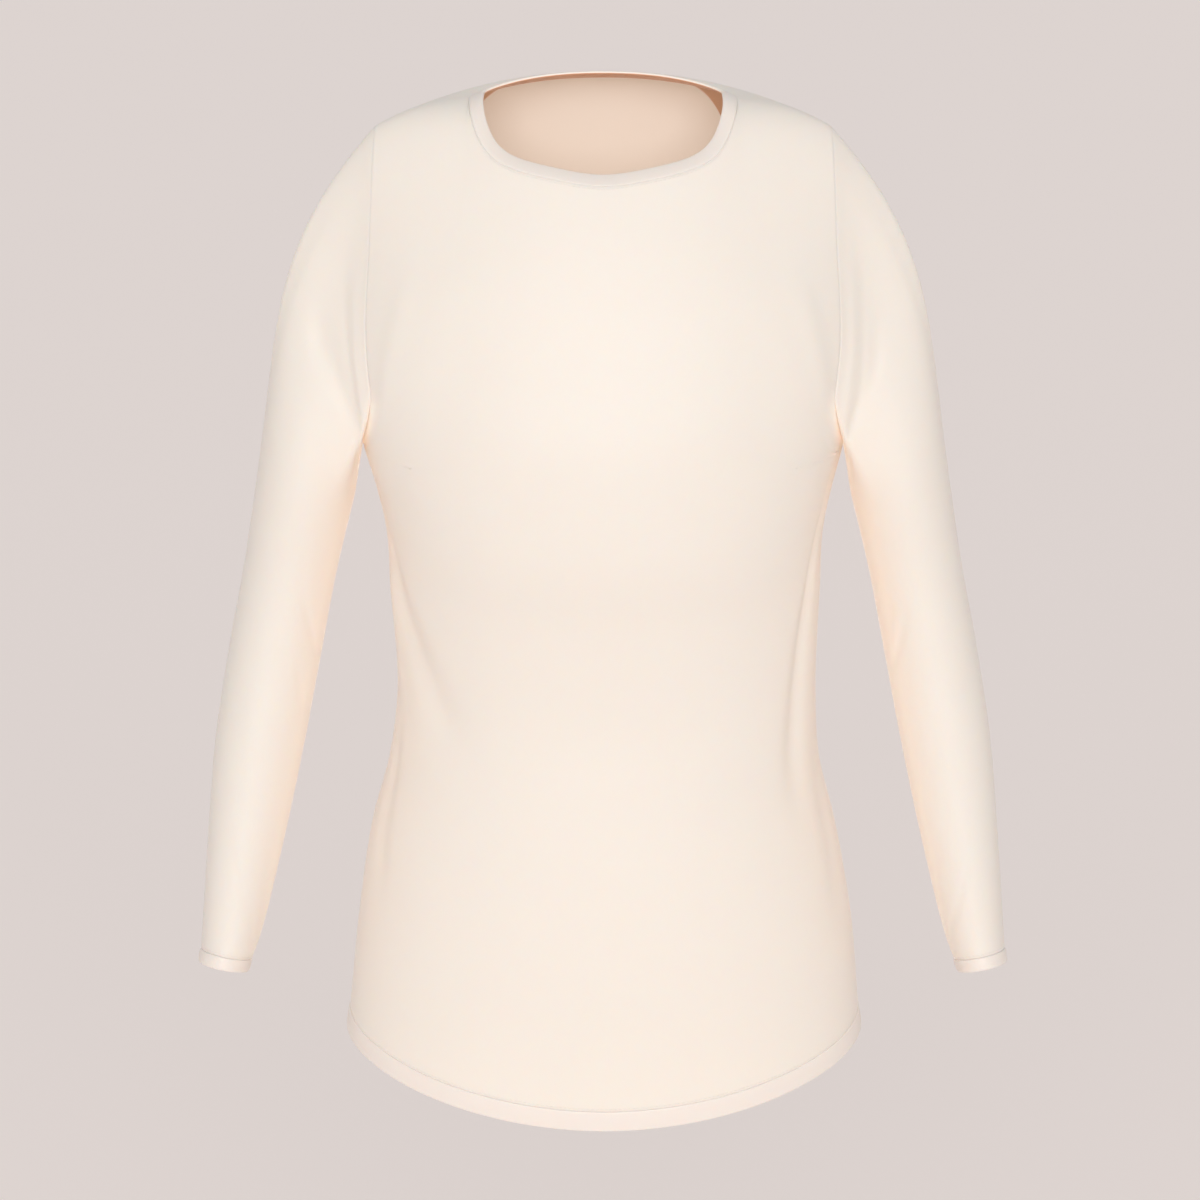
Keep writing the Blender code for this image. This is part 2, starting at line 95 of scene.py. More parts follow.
# Seams: rows laid close beside each one, gap between the pieces, depth of the groove between jersey
# pieces and beside a band, its width, and the share of it left at the shoulder tip with the power
# of that change; on the sleeve the ridge of the turned edges under the cloth; and the rows whose
# distance from the edge gives the way out of a panel and of a cloth's end
seam = {
    "rows": np.array([0.0, 0.0004, 0.0009, 0.0014, 0.0020, 0.0030, 0.0045, 0.0065, 0.0095]),
    "gap": 0.0001, "depth": 0.0006, "bandDepth": 0.0003, "wide": 0.0009,
    "tip": 0.25, "tipPower": 0.5,
    "ridge": 0.0002, "ridgeAt": 0.0056, "ridgeWide": 0.0036, "ridgePower": 0.25,
    "outRow": 3, "bandRow": 7,
}

# What counts as nothing: a vector's length, a step past the neck, and the way between shared points
least = {"vector": 1e-12, "neck": 1e-9, "point": 1e-6}


# Vectors divided by their lengths
def unit(vectors):
    return vectors / np.maximum(np.linalg.norm(vectors, axis=-1, keepdims=True), least["vector"])


# Smooth curve through one column of a form: between each two rows a cubic with the values and
# slopes of both. With a power, the curve runs through the values raised to it
def readForm(form, name, at, power=1):
    column = form["columns"].index(name)
    rows = np.array([row for level, row in form.items() if level != "columns"])
    shares, values = rows[:, 0], rows[:, column] ** power
    slopes = np.gradient(values, shares)
    low = np.clip(np.searchsorted(shares, at, side="right") - 1, 0, len(shares) - 2)
    gap = shares[low + 1] - shares[low]
    t = (at - shares[low]) / gap
    rise = values[low + 1] - values[low]
    start, end = slopes[low] * gap, slopes[low + 1] * gap
    bend = 3 * rise - 2 * start - end + t * (start + end - 2 * rise)
    curve = values[low] + t * (start + t * bend)
    return np.maximum(curve, 0) ** (1 / power) if power != 1 else curve


# Angle round the section where a panel ends: a right angle at the side seam, and beside the armhole
# the angle whose cosine rises to its reach along a quarter of a circle
def armholeEdge(up):
    scoop = np.clip((up - panel["underarm"]) / panel["scoop"], 0, 1)
    return np.arccos(panel["armholeReach"] * np.sqrt(1 - (1 - scoop) ** 2))


# Body surface: at each height an ellipse, a little squarer than true, whose middle lies higher or
# lower than its sides. side is -1 in front and 1 behind, across goes from -1 to 1, up from 0 to 1
def bodyPoint(side, across, up):
    across, up = np.broadcast_arrays(across, up)
    face = "Front" if side < 0 else "Back"
    wide = readForm(bodyForm, "wide", up)
    depth = readForm(bodyForm, face.lower(), up, power=2)
    full = readForm(bodyForm, "full" + face, up)
    edge = armholeEdge(up)
    angle = edge * across
    swell = 1 + full * np.sin(2 * angle) ** 2
    x = wide * np.sin(angle) * swell
    edgeX = wide * np.sin(edge) * (1 + full * np.sin(2 * edge) ** 2)
    y = readForm(bodyForm, "y", up) + side * depth * np.cos(angle) * swell
    middle = 1 - np.abs(x / edgeX) ** readForm(bodyForm, "bow", up)
    z = readForm(bodyForm, "z", up) + readForm(bodyForm, "rise" + face, up) * middle
    return np.stack([x + readForm(bodyForm, "x", up), y, z], axis=-1)


# Height of each column at the neck seam, found by halving: where the body crosses an oval seen
# from above, whose powers grow from those of an ellipse towards its sides
def neckHeight(side, across):
    low, high = np.full(across.shape, panel["underarm"]), np.ones(across.shape)
    reach = np.abs(bodyPoint(side, across, high)[:, 0])
    onShoulder = reach >= panel["neckHalf"] - least["neck"]
    for halving in range(panel["halvings"]):
        middle = (low + high) / 2
        away = np.abs(bodyPoint(side, across, middle)[:, :2] - [0, panel["shoulderY"]])
        away = away / [panel["neckHalf"], panel["neckDeep"][side]]
        inside = np.sum(away ** (2 + panel["neckSquare"][side] * away[:, :1] ** 2), axis=-1) < 1
        high, low = np.where(inside, middle, high), np.where(inside, low, middle)
    return np.where(onShoulder, 1.0, high)


# Column shares at the hem, even over the neck and the shoulder and close beside the side seam,
# and where the same columns lie across at the top
def panelColumns():
    share = panel["neckShare"]
    beside = 1 - seam["rows"][::-1] / panel["halfWidth"]
    overNeck = np.linspace(0, share, panel["neckSteps"] + 1)
    overShoulder = np.linspace(share, beside[0], panel["shoulderSteps"] + 1)[1:]
    half = np.concatenate([overNeck, overShoulder, beside[1:]])
    bottom = np.concatenate([-half[:0:-1], half])
    wide = bodyForm["shoulder"][bodyForm["columns"].index("wide")]
    edge = np.arccos(panel["armholeReach"])
    size = np.abs(bottom)
    neckEnd = np.arcsin(panel["neckHalf"] / wide) / edge
    quarter = np.sin(np.minimum(size / share, 1) * np.pi / 2)
    neck = np.arcsin(panel["neckHalf"] / wide * quarter) / edge
    shoulder = neckEnd + (1 - neckEnd) * (size - share) / (1 - share)
    top = np.where(size <= share, neck, shoulder)
    return bottom, np.sign(bottom) * top


# Parameters of rows along each column, at set distances from its two ends and even between them,
# read off the column's length up to each sample
def rowsAlong(points, parameters, startRows, endRows, steps):
    lengths = lengthsFrom(points, 0)
    total = lengths[-1]
    even = np.linspace(0, 1, steps + 1)[1:-1, None]
    first = np.broadcast_to(startRows[:, None], (len(startRows), len(total)))
    last = total - endRows[::-1, None]
    between = first[-1] + (last[0] - first[-1]) * even
    targets = np.concatenate([first, between, last])
    columns = range(len(total))
    found = [np.interp(targets[:, i], lengths[:, i], parameters) for i in columns]
    return np.stack(found, axis=1)


# Creases, drawn on the flat piece: across and up at the start and the end, sideways bow,
# width at the start and the end, and height. Below zero is a trough, above zero a ridge
panelCreases = {
    "rightFlankHigh":    ("front", -0.214, 0.425, -0.182, 0.352, 0.000, 0.008, 0.010, -0.0018),
    "rightFlankLow":     ("front", -0.186, 0.356, -0.112, 0.240, 0.004, 0.011, 0.018, -0.0032),
    "rightFlankRidge":   ("front", -0.196, 0.330, -0.186, 0.258, 0.000, 0.010, 0.011, 0.0014),
    "rightHip":          ("front", -0.190, 0.222, -0.168, 0.120, 0.002, 0.009, 0.014, -0.0020),
    "leftFlankHigh":     ("front", 0.188, 0.418, 0.170, 0.338, 0.000, 0.006, 0.007, -0.0024),
    "leftFlankLow":      ("front", 0.171, 0.342, 0.147, 0.195, 0.003, 0.008, 0.014, -0.0036),
    "leftFlankRidge":    ("front", 0.190, 0.300, 0.184, 0.222, 0.000, 0.013, 0.014, 0.0006),
    "leftHip":           ("front", 0.190, 0.190, 0.176, 0.085, 0.000, 0.012, 0.016, -0.0014),
    "rightArmpit":       ("front", -0.168, 0.542, -0.208, 0.458, 0.000, 0.014, 0.013, 0.0019),
    "leftArmpit":        ("front", 0.170, 0.538, 0.210, 0.460, 0.000, 0.015, 0.013, 0.0021),
    "rightChest":        ("front", -0.140, 0.550, -0.180, 0.462, 0.000, 0.026, 0.024, 0.0013),
    "leftChest":         ("front", 0.141, 0.546, 0.182, 0.464, 0.000, 0.027, 0.024, 0.0014),
    "rightDrag":         ("front", -0.206, 0.478, -0.138, 0.566, 0.006, 0.016, 0.026, -0.0007),
    "leftDrag":          ("front", 0.204, 0.480, 0.134, 0.570, -0.006, 0.017, 0.028, -0.0006),
    "rightBust":         ("front", -0.196, 0.392, -0.135, 0.405, 0.004, 0.007, 0.012, -0.0010),
    "leftBust":          ("front", 0.200, 0.398, 0.150, 0.416, -0.003, 0.006, 0.011, -0.0008),
    "rightBackWaist":    ("back", -0.168, 0.262, -0.040, 0.235, 0.004, 0.012, 0.018, -0.0030),
    "leftBackWaist":     ("back", 0.172, 0.275, 0.050, 0.244, -0.003, 0.011, 0.018, -0.0034),
    "lowBackWaist":      ("back", -0.110, 0.205, 0.085, 0.212, -0.006, 0.013, 0.016, -0.0020),
    "rightBackFlank":    ("back", -0.206, 0.345, -0.150, 0.288, 0.000, 0.008, 0.012, -0.0024),
    "leftBackFlank":     ("back", 0.208, 0.360, 0.160, 0.292, 0.002, 0.008, 0.012, -0.0022),
    "rightBlade":        ("back", -0.206, 0.470, -0.120, 0.560, 0.005, 0.014, 0.026, -0.0026),
    "leftBlade":         ("back", 0.204, 0.462, 0.124, 0.565, -0.005, 0.015, 0.026, -0.0024),
    "rightBackArmpit":   ("back", -0.182, 0.530, -0.205, 0.455, 0.000, 0.016, 0.013, 0.0019),
    "leftBackArmpit":    ("back", 0.181, 0.524, 0.204, 0.452, 0.000, 0.015, 0.013, 0.0017),
}

# The same on each sleeve: degrees round from the outer side by the front, and distance down from
# the armhole
sleeveCreases = {
    "rightSeamRidge":    ("right", 56, 0.0185, 130, 0.0135, 0.000, 0.0100, 0.0078, 0.0013),
    "rightSeamFold":     ("right", 64, 0.0335, 132, 0.0220, 0.001, 0.0055, 0.0042, -0.0006),
    "rightArmpitLong":   ("right", 50, 0.0780, 124, 0.0270, 0.002, 0.0100, 0.0060, -0.0020),
    "rightArmpitShort":  ("right", 138, 0.0260, 168, 0.0300, 0.000, 0.0040, 0.0030, -0.0008),
    "leftSeamRidge":     ("left", 56, 0.0200, 126, 0.0180, 0.000, 0.0105, 0.0080, 0.0015),
    "leftSeamFold":      ("left", 82, 0.0390, 131, 0.0255, -0.003, 0.0058, 0.0042, -0.0008),
    "leftArmpitLong":    ("left", 66, 0.0620, 125, 0.0300, 0.000, 0.0085, 0.0055, -0.0013),
    "leftArmpitShort":   ("left", 140, 0.0300, 170, 0.0340, 0.000, 0.0045, 0.0030, -0.0007),
    "rightBackRidge":    ("right", 234, 0.0110, 298, 0.0120, 0.000, 0.0045, 0.0055, 0.0011),
    "rightBackFold":     ("right", 232, 0.0240, 284, 0.0620, 0.002, 0.0050, 0.0090, -0.0018),
    "leftBackRidge":     ("left", 236, 0.0100, 300, 0.0130, 0.000, 0.0045, 0.0055, 0.0012),
    "leftBackFold":      ("left", 236, 0.0220, 290, 0.0540, -0.002, 0.0050, 0.0085, -0.0016),
    "rightElbowHigh":    ("right", 112, 0.1720, 172, 0.1600, 0.002, 0.0070, 0.0045, -0.0009),
    "rightElbowLow":     ("right", 126, 0.2100, 176, 0.1980, -0.001, 0.0060, 0.0040, -0.0007),
    "leftElbowHigh":     ("left", 118, 0.1840, 174, 0.1700, 0.002, 0.0065, 0.0045, -0.0008),
    "leftElbowBack":     ("left", 200, 0.1900, 252, 0.2080, 0.000, 0.0060, 0.0075, -0.0009),
    "rightElbowBack":    ("right", 196, 0.1800, 250, 0.2020, 0.001, 0.0060, 0.0075, -0.0010),
    "rightWrist":        ("right", 84, 0.4100, 140, 0.3780, 0.001, 0.0060, 0.0040, -0.0006),
    "leftWrist":         ("left", 92, 0.4000, 146, 0.3700, -0.001, 0.0055, 0.0040, -0.0007),
}

# Painted light: a warm glow emitted by the cloth between the sleeves and the body, standing in for
# light bounced between them, and a painted rim light along the left hip
panelPaintedGlow = {
    "rightPit":          ("front", -0.224, 0.462, -0.222, 0.410, 0.000, 0.012, 0.010, 1.2),
    "leftPit":           ("front", 0.224, 0.462, 0.222, 0.410, 0.000, 0.012, 0.010, 1.2),
    "leftHipRim":        ("front", 0.225, 0.180, 0.225, 0.010, 0.000, 0.008, 0.008, 0.9),
}
# The same painted glow on each sleeve: along its inner side and at the armpit
sleevePaintedGlow = {
    "rightInner":        ("right", 184, 0.0300, 184, 0.3600, 0.000, 0.0380, 0.0320, 1.9),
    "rightPit":          ("right", 150, 0.0080, 182, 0.0260, 0.000, 0.0140, 0.0160, 1.1),
    "leftInner":         ("left", 184, 0.0300, 184, 0.3600, 0.000, 0.0400, 0.0320, 2.0),
    "leftPit":           ("left", 150, 0.0080, 182, 0.0260, 0.000, 0.0140, 0.0160, 1.1),
}

# Strokes keep their height for a share of their length to both sides of the middle, then fade
stroke = {"full": 0.3, "fade": 0.25}


# Sum of strokes: each is its height times a bell about a bowed line, times its fade along the line
def strokeSum(strokes, piece, across, along, scale=1.0):
    total = np.zeros(np.broadcast(across, along).shape)
    for owner, x0, y0, x1, y1, bow, wide0, wide1, height in strokes.values():
        if owner != piece:
            continue
        runX, runY = (x1 - x0) * scale, y1 - y0
        offX, offY = (across - x0) * scale, along - y0
        t = (offX * runX + offY * runY) / (runX ** 2 + runY ** 2)
        off = (offX * runY - offY * runX) / np.hypot(runX, runY) - bow * 4 * t * (1 - t)
        wide = wide0 + (wide1 - wide0) * np.clip(t, 0, 1)
        past = np.maximum(np.abs(t - 0.5) - stroke["full"], 0)
        fade = np.exp(-(past / stroke["fade"]) ** 2)
        total += height * fade * np.exp(-(off / wide) ** 2)
    return total


# Groove of a seam: a bell of its depth over the distance from it
def groove(distance, depth):
    return -depth * np.exp(-(distance / seam["wide"]) ** 2)


# Length from the start of an axis to each point: the sum of the steps before it
def lengthsFrom(points, axis):
    steps = np.linalg.norm(np.diff(points, axis=axis), axis=-1)
    start = np.zeros_like(np.take(steps, [0], axis=axis))
    return np.concatenate([start, np.cumsum(steps, axis=axis)], axis=axis)


# Way along an axis at each point: from the point before it to the one after it
def wayAlong(points, axis, closed):
    if closed:
        return np.roll(points, -1, axis=axis) - np.roll(points, 1, axis=axis)
    return np.gradient(points, axis=axis)


# Normals of a grid: square to the ways along its columns and its rows
def gridNormals(points, closed):
    return unit(np.cross(wayAlong(points, 1, closed), wayAlong(points, 0, False)))


# Front or back: the body surface between hem, side seams, armholes, shoulders and neck,
# with its rows at set distances from the hem and the neck, and its heights of creases and grooves
def makePanel(side):
    name = "front" if side < 0 else "back"
    bottom, top = panelColumns()
    neck = neckHeight(side, top)

    # Columns run from the hem's places to the top's, and rows from the hem to the neck
    def surface(shares):
        return bodyPoint(side, bottom + (top - bottom) * shares ** 2, shares * neck)

    under = panel["underarm"]
    lower = np.linspace(0, under, panel["sideSamples"])
    upper = under + (1 - under) * (1 - np.linspace(1, 0, panel["armholeSamples"]) ** 2)
    lowerRows = rowsAlong(surface(lower[:, None]), lower,
                          seam["rows"], np.zeros(1), panel["sideSteps"])
    upperRows = rowsAlong(surface(upper[:, None]), upper,
                          seam["rows"], seam["rows"], panel["armholeSteps"])
    shares = np.concatenate([lowerRows, upperRows[1:]])
    points = surface(shares)
    across = bottom + (top - bottom) * shares ** 2
    normals = gridNormals(points, False) * -side
    fromHem, fromSide = lengthsFrom(points, 0), lengthsFrom(points, 1)
    edge = np.minimum(fromSide, fromSide[:, -1:] - fromSide)
    flatPlace = (name, across * panel["halfWidth"], shares * neck * panel["length"])
    # Creases, and the painted glow that stands in for bounced light
    heights, blush = strokeSum(panelCreases, *flatPlace), strokeSum(panelPaintedGlow, *flatPlace)
    besideArm = np.clip((shares * neck - under) / (1 - under), 0, 1)
    soft = 1 - (1 - seam["tip"]) * besideArm ** seam["tipPower"]
    heights = heights * (1 - across ** panel["creaseEnd"]) + groove(edge, seam["depth"]) * soft
    bandDepth = seam["bandDepth"]
    heights += groove(fromHem, bandDepth) + groove(fromHem[-1] - fromHem, bandDepth)
    middle = points.shape[1] // 2
    uv = np.stack([fromSide - fromSide[:, middle:middle + 1], fromHem], axis=-1)
    return dict(points=points, normals=normals, heights=heights, blush=blush, uv=uv, closed=False,
                rows=len(lowerRows))


# Points of the left sleeve below its cap: an ellipse square to the arm at each share along it,
# at an angle from its outer side round by the front
def armPoint(share, angle):
    share, angle = np.broadcast_arrays(share, angle)
    step = sleeve["axisStep"]
    middle = [np.stack([readForm(sleeveForm, name, at) for name in ("x", "y", "z")], axis=-1)
              for at in (share, share - step, share + step)]
    axis = unit(middle[2] - middle[1])
    forward = np.array([0.0, -1.0, 0.0])
    forward = unit(forward - axis * (axis @ forward)[..., None])
    outward = np.cross(forward, axis)
    across = readForm(sleeveForm, "across", share) * np.cos(angle)
    deep = readForm(sleeveForm, "deep", share) * np.sin(angle)
    return middle[0] + outward * across[..., None] + forward * deep[..., None]


# Armhole loop from the shoulder tip down the front and up the back, and the way out of each panel:
# from a column further in to the edge
def armholeLoop(front, back, hand):
    away = seam["outRow"]
    edge, inner = (-1, -1 - away) if hand > 0 else (0, away)
    rows = slice(None, front["rows"] - 2, -1)
    frontEdge, backEdge = front["points"][rows, edge], back["points"][rows, edge]
    frontOut = frontEdge - front["points"][rows, inner]
    backOut = backEdge - back["points"][rows, inner]
    frontOut[0] = unit(frontOut[0]) + unit(backOut[0])
    frontOut[-1] = unit(frontOut[-1]) + unit(backOut[-1])
    loop = np.concatenate([frontEdge, backEdge[-2:0:-1]])
    return loop, unit(np.concatenate([frontOut, backOut[-2:0:-1]]))


# Sleeve: from the armhole a curve sweeps out of the panels and into the arm, then follows the arm's
# ellipses. Down each column the first unit of the parameter is the cap and the second is the arm
def makeSleeve(front, back, hand):
    mirror = np.array([hand, 1, 1])
    loop, outward = (values * mirror for values in armholeLoop(front, back, hand))
    half = len(loop) // 2
    steps = np.linalg.norm(np.roll(loop, -1, axis=0) - loop, axis=-1)
    down, up = steps[:half], steps[half:]
    downShare = (np.cumsum(down) - down) / down.sum()
    upShare = (np.cumsum(up) - up) / up.sum()
    angle = np.pi * np.concatenate([downShare, 1 + upShare])
    biceps = armPoint(np.zeros_like(angle), angle)
    leave = unit(armPoint(np.full_like(angle, sleeve["leave"]), angle) - biceps)
    low = (0.5 - 0.5 * np.cos(angle))[:, None] ** sleeve["capTurn"]
    turn = sleeve["capLean"] + (1 - sleeve["capLean"]) * low
    way = np.linalg.norm(biceps - loop, axis=-1, keepdims=True)
    startPull, endPull = (sleeve[name] + (sleeve["capLow"] - sleeve[name]) * low
                          for name in ("capStart", "capEnd"))
    start = unit(outward * (1 - turn) + leave * turn) * way * startPull
    end = leave * way * endPull

    # Cap: a cubic between the armhole and the arm that leaves one and meets the other along its pulls
    def surface(parameters):
        t = np.minimum(parameters, 1)[..., None]
        cap = ((2 * t ** 3 - 3 * t ** 2 + 1) * loop + (t ** 3 - 2 * t ** 2 + t) * start
               + (3 * t ** 2 - 2 * t ** 3) * biceps + (t ** 3 - t ** 2) * end)
        arm = armPoint(np.maximum(parameters - 1, 0), angle)
        return np.where(parameters[..., None] < 1, cap, arm)

    fine = np.linspace(0, 2, sleeve["samples"])
    everyColumn = np.broadcast_to(fine[:, None], (len(fine), len(angle)))
    parameters = rowsAlong(surface(everyColumn), fine, seam["rows"], seam["rows"], sleeve["steps"])
    points = surface(parameters) * mirror
    normals = gridNormals(points, True)
    normals *= np.sign(np.sum(normals * (points - points.mean(axis=1, keepdims=True))))
    fromTop = lengthsFrom(points, 0)
    around = lengthsFrom(np.concatenate([points, points[:, :1]], axis=1), 1)
    fromSeam = np.abs(around[:, :-1] - around[:, half:half + 1])
    name = "left" if hand > 0 else "right"
    flatPlace = (name, np.degrees(angle), fromTop, np.radians(1) * sleeve["radius"])
    # Creases, and the painted glow that stands in for bounced light under the arm
    creases, blush = strokeSum(sleeveCreases, *flatPlace), strokeSum(sleevePaintedGlow, *flatPlace)
    ridge = seam["ridge"] * np.exp(-((fromTop - seam["ridgeAt"]) / seam["ridgeWide"]) ** 2)
    low = 0.5 - 0.5 * np.cos(angle)
    fromTip = seam["tip"] + (1 - seam["tip"]) * low
    ridge = ridge * (1 - low) ** seam["ridgePower"] * fromTip
    soft = seam["tip"] + (1 - seam["tip"]) * low ** seam["tipPower"]
    heights = creases + ridge + groove(fromTop, seam["depth"]) * soft
    heights += groove(fromSeam, seam["depth"])
    heights += groove(fromTop[-1] - fromTop, seam["bandDepth"])
    uv = np.stack([around - around[:, half:half + 1],
                   np.concatenate([fromTop, fromTop[:, :1]], axis=1)], axis=-1)
    return dict(points=points, normals=normals, heights=heights, blush=blush, uv=uv, closed=True)


# Points that pieces share get one normal, midway between the panels' mean normal and the tubes',
# so that walls meet
def shareNormals(pieces):
    flat = [(piece["points"].reshape(-1, 3), piece["normals"].reshape(-1, 3), piece["closed"])
            for piece in pieces]
    points, normals = (np.concatenate([part[i] for part in flat]) for i in (0, 1))
    tube = np.concatenate([np.full(len(part[0]), part[2]) for part in flat])
    places = np.rint(points / least["point"])
    group = np.unique(places, axis=0, return_inverse=True)[1].ravel()
    total = np.zeros((group.max() + 1, 3))
    for kind in (tube, ~tube):
        sums = np.zeros_like(total)
        np.add.at(sums, group[kind], normals[kind])
        total += unit(sums)
    shared = unit(total)[group]
    ends = np.cumsum([len(part[0]) for part in flat])[:-1]
    for piece, values in zip(pieces, np.split(shared, ends)):
        piece["normals"] = values.reshape(piece["normals"].shape)


# Draws a border back by half the gap, square to the seam
def drawBack(piece, border, inner):
    edge = piece["points"][border]
    shift = unit(np.cross(piece["normals"][border], wayAlong(edge, 0, piece["closed"])))
    shift *= np.sign(np.sum(shift * (piece["points"][inner] - edge)))
    piece["moved"][border] += shift * seam["gap"] / 2


# Object that holds a mesh, a lamp or a lens, placed in the scene
def addObject(name, data):
    added = bpy.data.objects.new(name, data)
    bpy.context.scene.collection.objects.link(added)
    return added


# Angle between faces, in degrees, from which their edge is shaded sharp
sharpFrom = 50


# Mesh from grid corners: each corner has a vertex and its own place on the cloth, in metres.
# Faces are turned round if the closed shape's volume comes out below nothing
def addMesh(name, vertices, cornerVertex, cornerUv, faces, **attributes):
    a, b, c, d = (vertices[cornerVertex[faces[:, i]]] for i in range(4))
    if np.sum(np.cross(a, b) * c) + np.sum(np.cross(a, c) * d) < 0:
        faces = faces[:, ::-1]
    mesh = bpy.data.meshes.new(name)
    mesh.from_pydata(vertices.tolist(), [], cornerVertex[faces].tolist())
    places = cornerUv[faces].astype(np.float32).ravel()
    mesh.uv_layers.new(name="cloth").data.foreach_set("uv", places)
    for key, values in attributes.items():
        added = mesh.attributes.new(key, "FLOAT", "POINT")
        added.data.foreach_set("value", values.astype(np.float32).ravel())
    mesh.shade_smooth()
    mesh.set_sharp_from_angle(angle=np.radians(sharpFrom))
    return addObject(name, mesh)


# Corners and faces of a grid, which closes on itself along either axis
def gridFaces(rows, columns, closedRows, closedColumns):
    tall, wide = rows + closedRows, columns + closedColumns
    corner = np.arange(tall * wide).reshape(tall, wide)
    vertex = ((np.arange(tall) % rows)[:, None] * columns + np.arange(wide) % columns).ravel()
    faces = np.stack([corner[:-1, :-1], corner[:-1, 1:], corner[1:, 1:], corner[1:, :-1]], axis=-1)
    return corner, vertex, faces.reshape(-1, 4)


# Cloth wall: the grid moved out by its heights, the same grid a thickness further in,
# and strips between the two along every border. The inner faces take the second finish
def wallPiece(name, piece, thickness):
    outer = piece["moved"] + piece["normals"] * piece["heights"][..., None]
    layers = np.stack([outer, outer - piece["normals"] * thickness]).reshape(-1, 3)
    rows, columns = outer.shape[:2]
    corner, vertex, quads = gridFaces(rows, columns, False, piece["closed"])
    borders = [corner[0, ::-1], corner[-1]]
    if not piece["closed"]:
        borders += [corner[:, 0], corner[::-1, -1]]
    strips = [np.stack([b[:-1], b[1:], b[1:] + corner.size, b[:-1] + corner.size], axis=-1)
              for b in borders]
    faces = np.concatenate([quads, quads[:, ::-1] + corner.size] + strips)
    uv = np.tile(piece["uv"].reshape(-1, 2), (2, 1))
    # Each wall carries its painted glow: emitted light that stands in for bounced light
    wall = addMesh(name, layers, np.concatenate([vertex, vertex + rows * columns]), uv, faces,
                   blush=np.tile(piece["blush"].ravel(), 2))
    layer = np.arange(len(faces)) // len(quads)
    wall.data.polygons.foreach_set("material_index", (layer == 1).astype(int))
    return wall


# Way out of a loop's surface: square to the loop and to the band's direction across
def loopOutward(path, across):
    outward = unit(np.cross(wayAlong(path, 0, True), across))
    return outward * np.sign(np.sum(outward * (path - path.mean(axis=0))))


# Closed band carried round a loop: its section is an ellipse of a high power, crowned by half a
# wave on its outer face and flared by a square at its free edge
def bandPiece(name, path, across, band):
    t = np.linspace(0, 2 * np.pi, band["section"], endpoint=False)
    power = 2 / band["square"]
    a = 0.5 - 0.5 * np.sign(np.cos(t)) * np.abs(np.cos(t)) ** power
    b = np.sign(np.sin(t)) * np.abs(np.sin(t)) ** power
    rise = band["proud"] - band["thick"] / 2 + b * band["thick"] / 2
    rise = rise + band["crown"] * np.sin(np.pi * a) * (b > 0) + band["flare"] * a ** 2
    points = path[:, None] + across[:, None] * (a * band["wide"])[:, None]
    points = points + loopOutward(path, across)[:, None] * rise[:, None]
    rows, columns = points.shape[:2]
    vertex, faces = gridFaces(rows, columns, True, True)[1:]
    section = np.stack([np.append(a, a[0]) * band["wide"], np.append(rise, rise[0])], axis=-1)
    along, around = lengthsFrom(np.concatenate([path, path[:1]]), 0), lengthsFrom(section, 0)
    uv = np.stack(np.broadcast_arrays(along[:, None], around), axis=-1).reshape(-1, 2)
    # inner marks the band's inner face, which the finish colours with a dark painted shade
    inner = np.tile((b < band["innerFrom"]).astype(float), rows)
    # Painted highlight: along the top edge of its rim the band emits light, more towards the back
    onRim = (a > band["rimEdge"]) & (b > band["rimFace"])
    rim = band["rim"] * np.clip(path[:, 1:2] / band["rimReach"], 0, 1) * onRim
    return addMesh(name, points.reshape(-1, 3), vertex, uv, faces, inner=inner, blush=rim.ravel())


# Stitches along a closed loop: short threads that arch by half a wave, thinner towards their ends,
# where they sink into the cloth
def stitchPiece(name, path, outward, stitch):
    path, outward = np.concatenate([path, path[:1]]), np.concatenate([outward, outward[:1]])
    run = lengthsFrom(path, 0)
    count = int(run[-1] / stitch["pitch"])
    pick = np.random.default_rng(stitch["seed"])
    starts = (np.arange(count) + pick.uniform(*stitch["shifts"], count)) * run[-1] / count
    t = np.linspace(0, 1, stitch["steps"])
    at = starts[:, None] + t * stitch["long"] * pick.uniform(*stitch["stretches"], (count, 1))
    line, out = (np.stack([np.interp(at, run, column, period=run[-1]) for column in values.T],
                          axis=-1) for values in (path, outward))
    out = unit(out)
    line += out * (stitch["lift"] * np.sin(np.pi * t) - stitch["sink"])[:, None]
    side = unit(np.cross(np.gradient(line, axis=1), out))
    turn = np.linspace(0, 2 * np.pi, stitch["round"], endpoint=False)
    taper = stitch["taper"] + (1 - stitch["taper"]) * np.sin(np.pi * t)
    wide = stitch["radius"] * taper[:, None, None]
    ring = out[:, :, None] * np.cos(turn)[:, None] + side[:, :, None] * np.sin(turn)[:, None]
    points = line[:, :, None] + ring * wide
    steps, rounds = points.shape[1:3]
    vertex, quads = gridFaces(steps, rounds, False, True)[1:]
    size = steps * rounds
    quads = vertex[quads]
    ends = np.stack([np.arange(rounds)[::-1], size - rounds + np.arange(rounds)])
    first = np.arange(count)[:, None, None] * size
    faces = (first + quads).reshape(-1, 4).tolist() + (first + ends).reshape(-1, rounds).tolist()
    mesh = bpy.data.meshes.new(name)
    mesh.from_pydata(points.reshape(-1, 3).tolist(), [], faces)
    mesh.shade_smooth()
    return addObject(name, mesh)


# Jersey pieces, sewn edge to edge
front, back = makePanel(-1), makePanel(1)
leftSleeve, rightSleeve = makeSleeve(front, back, 1), makeSleeve(front, back, -1)
cloth = {"frontCloth": front, "backCloth": back,
         "leftSleeveCloth": leftSleeve, "rightSleeveCloth": rightSleeve}
shareNormals(list(cloth.values()))
for piece in cloth.values():
    piece["moved"] = piece["points"].copy()
    drawBack(piece, 0, 1)
    drawBack(piece, -1, -2)
    if not piece["closed"]:
        drawBack(piece, (slice(None), 0), (slice(None), 1))
        drawBack(piece, (slice(None), -1), (slice(None), -2))
made = {name: wallPiece(name, piece, panel["cloth"]) for name, piece in cloth.items()}
print("panels and sleeves made")
